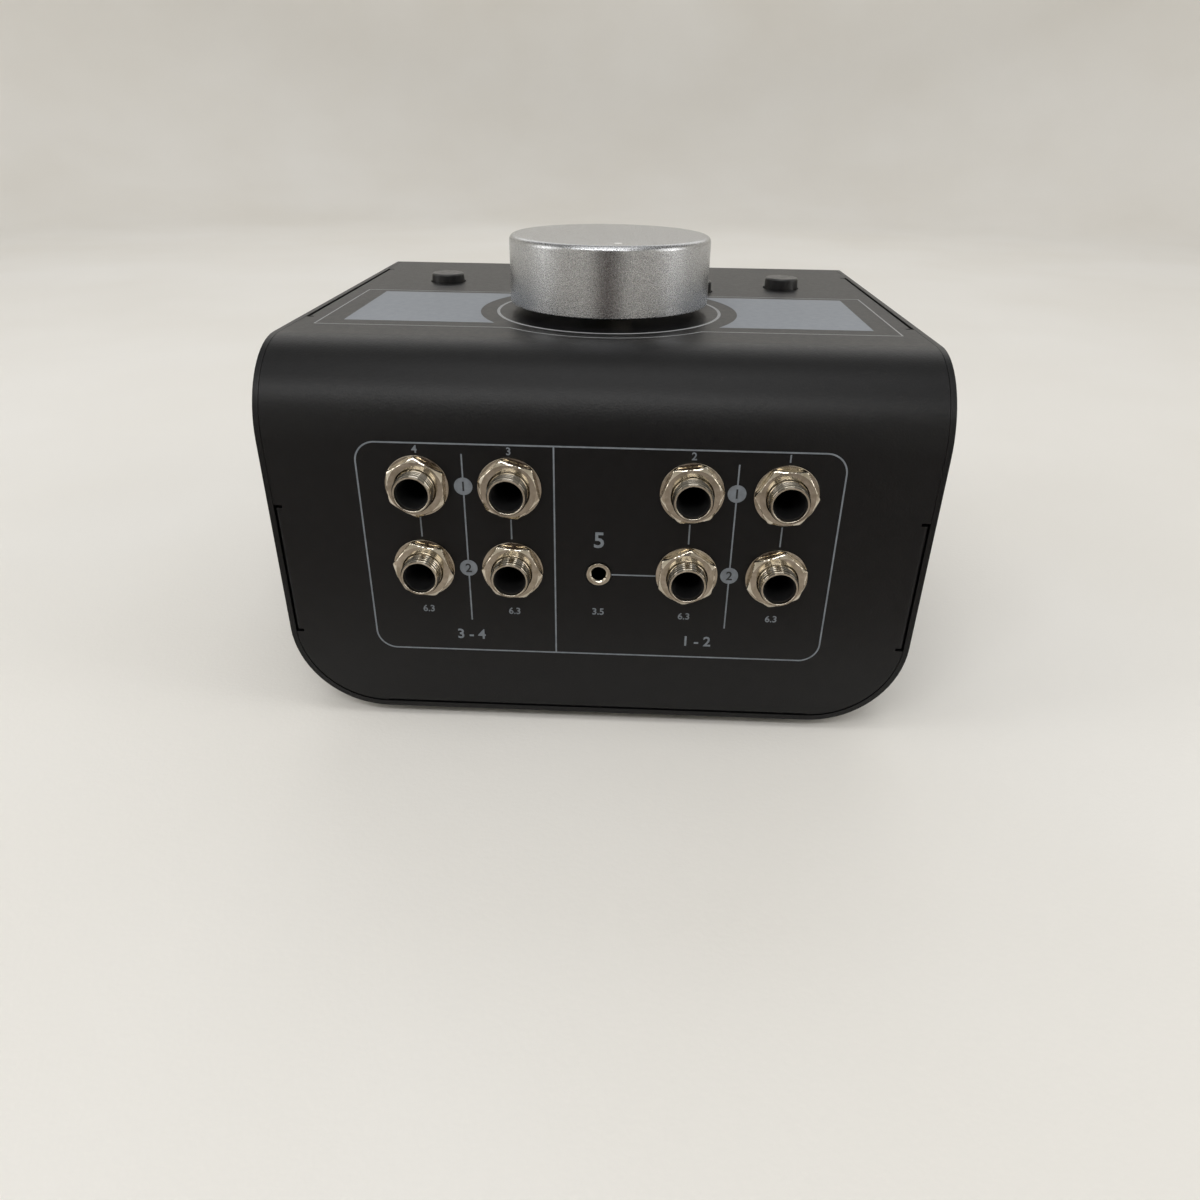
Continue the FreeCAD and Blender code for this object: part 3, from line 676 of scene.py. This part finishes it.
number(rear_print, "3.5", small_x, 34.6, small_digit)
number(rear_print, "3 - 4", -32.4, group_y, group_digit)
number(rear_print, "1 - 2", 26.0, group_y, group_digit)
lay(rear_print, "print_rear_lines", line_ink, rear_plane)

# %% Numbers on the spots
spot_digit, second_pass = 2.4, 0.07
spot_print = bmesh.new()
for x, low, high in spot_lines:
    number(spot_print, "1", x, upper, spot_digit, second_pass)
    number(spot_print, "2", x, lower, spot_digit, second_pass)
lay(spot_print, "print_rear_spots", dark_ink, rear_plane)

# %% [markdown]
# ### Top panel
# Two blue-grey fields stand either side of the knob, cut away in an arc round it. A fine line
# goes round both and swells round the knob, and a bolder ring lies just outside the knob.

# %% Top fields
swell = 35.0
knob_x, knob_y = knob_centre.x / mm, knob_centre.y / mm
field_low, field_high, field_side = knob_y - 22.7, knob_y + 20.0, 67.7
fields = []
for side in (1, -1):
    field = bmesh.new()
    start = math.asin((field_low - knob_y) / swell)
    end = math.asin((field_high - knob_y) / swell)
    first = field.verts.new(((knob_x + swell * math.cos(start)) * mm, field_low * mm, 0))
    bmesh.ops.spin(field, geom=[first], cent=(knob_x * mm, knob_y * mm, 0), axis=(0, 0, 1),
                   dvec=(0, 0, 0), angle=end - start, steps=48)
    grown = bmesh.ops.extrude_edge_only(field, edges=field.edges)
    for v in grown["geom"]:
        if isinstance(v, bmesh.types.BMVert):
            v.co.x = field_side * mm
    film(field, list(field.faces), 0.03)
    bmesh.ops.scale(field, verts=field.verts, vec=(side, 1, 1))
    bmesh.ops.recalc_face_normals(field, faces=field.faces)
    fields.append((field, top_plane))
piece(gather(fields), "print_top_fields", panel_ink, "case")

# %% Top line, ring and numbers
top_print = bmesh.new()
left, right_side, low, high = -73.6, 73.6, knob_y - 25.3, knob_y + 25.4
width = 0.35
ring_radius, ring_width = 30.2, 0.8
number_gap, digit = 3.2, 2.0
bar(top_print, left - width / 2, low, left + width / 2, high)
bar(top_print, right_side - width / 2, low, right_side + width / 2, high)
for y in (low, high):
    reach = math.sqrt(swell ** 2 - (y - knob_y) ** 2)
    bar(top_print, left + width / 2, y - width / 2, knob_x - reach, y + width / 2)
    bar(top_print, knob_x + reach, y - width / 2, right_side - width / 2, y + width / 2)
rear_angle = math.degrees(math.asin((high - knob_y) / swell))
front_angle = math.degrees(math.asin((low - knob_y) / swell))
band(top_print, knob_x, knob_y, swell, width, rear_angle, 180 - rear_angle)
band(top_print, knob_x, knob_y, swell, width, 180 - front_angle, 360 + front_angle)
band(top_print, knob_x, knob_y, ring_radius, ring_width)
for text, name in (("1", "source"), ("2", "mono"), ("3", "mute"), ("4", "dim"), ("5", "output")):
    cap_low, cap_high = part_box("button_cap_" + name)
    number(top_print, text, (cap_low.x + cap_high.x) / 2 / mm, cap_low.y / mm - number_gap, digit)
lay(top_print, "print_top_lines", top_ink, top_plane)

# %% [markdown]
# ## Floor and backdrop
# The object stands on plain pale cloth. A round sweep, a floor that curves up into a wall on
# every side, has no line behind the object from any view. It is one outline spun round Z. Its
# colour makes it pale; the lamps stay low so that nothing clips.

# %% Sweep
sweep_finish, tree, shader, place = new_finish("cloth_plain_pale", "#efece7", 0.9)
mottle(tree, shader, place, 260, "#ece9e3", "#f2f0ec")
grain(tree, shader, place, 1.2, 0.06)
sweep = bmesh.new()
floor_reach, wall_radius, wall_top = 1.3, 0.5, 1.5
start = sweep.verts.new((0, 0, 0))
foot = sweep.verts.new((floor_reach, 0, 0))
sweep.edges.new((start, foot))
bmesh.ops.spin(sweep, geom=[foot], cent=(floor_reach, 0, wall_radius), axis=(0, -1, 0), dvec=(0, 0, 0),
               angle=math.pi / 2, steps=16)
rim = max(sweep.verts, key=lambda v: v.co.z)
sweep.edges.new((rim, sweep.verts.new((floor_reach + wall_radius, 0, wall_top))))
bmesh.ops.spin(sweep, geom=sweep.verts[:] + sweep.edges[:], cent=(0, 0, 0), axis=(0, 0, 1),
               dvec=(0, 0, 0), angle=2 * math.pi, steps=128, use_merge=True)
bmesh.ops.remove_doubles(sweep, verts=sweep.verts, dist=1e-5)
bmesh.ops.recalc_face_normals(sweep, faces=sweep.faces)
if min(sweep.faces, key=lambda f: f.calc_center_median().length).normal.z < 0:
    bmesh.ops.reverse_faces(sweep, faces=sweep.faces)
sweep_mesh = bpy.data.meshes.new("sweep")
sweep.to_mesh(sweep_mesh)
sweep.free()
sweep_mesh.materials.append(sweep_finish)
sweep_mesh.shade_smooth()
backdrop = bpy.data.objects.new("sweep", sweep_mesh)
bpy.context.scene.collection.objects.link(backdrop)
print("sweep", len(sweep_mesh.polygons), "faces, rim at", round(wall_top, 2), "m")

# %% [markdown]
# ## Light
# The room is soft: a wide window high behind the camera draws the pale band on the rear bend and
# the bright line on the knob's rim, a ceiling lamp fills it from above, and a wide lamp beyond
# the object greys the top at its low angle. A low lamp on either side lights the knob's flanks.
# A card below and behind the camera is seen only in reflections, and its colour is painted shade:
# pale near the object and dark brown further off, it stands for the table's end and the shadow of
# the person who holds the camera, and paints the knob's dark middle as a reflection.

# %% Lamps
def lamp(name, at, aim, size_x, size_y, power):
    """A soft rectangular lamp. Places and sizes are in metres."""
    data = bpy.data.lights.new(name, "AREA")
    data.shape = "RECTANGLE"
    data.size = size_x
    data.size_y = size_y
    data.energy = power
    obj = bpy.data.objects.new(name, data)
    bpy.context.scene.collection.objects.link(obj)
    obj.location = at
    obj.rotation_euler = (Vector(aim) - Vector(at)).to_track_quat("-Z", "Y").to_euler()
    print(name, power, "W")


lamp("window", (0.15, 0.95, 1.1), (0, 0.0, 0.05), 1.3, 0.22, 6.5)
lamp("ceiling", (0.0, 0.3, 1.7), (0, 0, 0), 1.2, 0.8, 5)
lamp("far_lamp", (0.0, -1.1, 0.95), (0, 0, 0.08), 1.8, 0.8, 4)
lamp("left_lamp", (1.15, 0.3, 0.5), (0, 0, 0.08), 0.4, 0.8, 2.5)
lamp("right_lamp", (-1.15, 0.3, 0.5), (0, 0, 0.08), 0.4, 0.8, 2.5)

# %% Painted reflection card and world
card_near, card_middle, card_far, card_top, card_lift = 0.12, 0.42, 0.75, 0.72, 0.002
shade_card_finish, tree, shader, place = new_finish("painted_reflection_shade_card", "#5e5351", 0.95)
split = add_node(tree, "ShaderNodeSeparateXYZ", {}, {"Vector": place})
fade = add_node(tree, "ShaderNodeMapRange", {"From Min": card_near, "From Max": card_middle},
                {"Value": split.outputs["Y"]})
shade = add_node(tree, "ShaderNodeValToRGB", {}, {"Fac": fade.outputs["Result"]})
# Painted shade: the card is pale near the object and dark brown further off.
shade.color_ramp.elements[0].color = linear("#b5aca3")
shade.color_ramp.elements[1].color = linear("#4a3f3e")
tree.links.new(shade.outputs["Color"], shader.inputs["Base Color"])
shade_card = bmesh.new()
wide_card = (0.45, [(card_near, card_lift), (card_middle, card_lift)])
narrow_card = (0.15, [(card_middle, card_lift), (card_far, card_lift), (card_far, card_top)])
for half, section in (wide_card, narrow_card):
    profile = [shade_card.verts.new((-half, y, z)) for y, z in section]
    sides = [shade_card.edges.new(pair) for pair in zip(profile, profile[1:])]
    wide = bmesh.ops.extrude_edge_only(shade_card, edges=sides)
    moved = [v for v in wide["geom"] if isinstance(v, bmesh.types.BMVert)]
    bmesh.ops.translate(shade_card, verts=moved, vec=(2 * half, 0, 0))
shade_card_mesh = bpy.data.meshes.new("shade_card")
shade_card.to_mesh(shade_card_mesh)
shade_card.free()
shade_card_mesh.materials.append(shade_card_finish)
shade_card_object = bpy.data.objects.new("shade_card", shade_card_mesh)
bpy.context.scene.collection.objects.link(shade_card_object)
# Hidden from the camera, from diffuse light and from shadows, so the card is only a painted reflection.
shade_card_object.visible_camera = False
shade_card_object.visible_diffuse = False
shade_card_object.visible_shadow = False
world = bpy.data.worlds.new("world")
world.use_nodes = True
bpy.context.scene.world = world
background = world.node_tree.nodes["Background"]
background.inputs["Color"].default_value = linear("#f4f3ef")
background.inputs["Strength"].default_value = 0.32
print("flag and world ready")
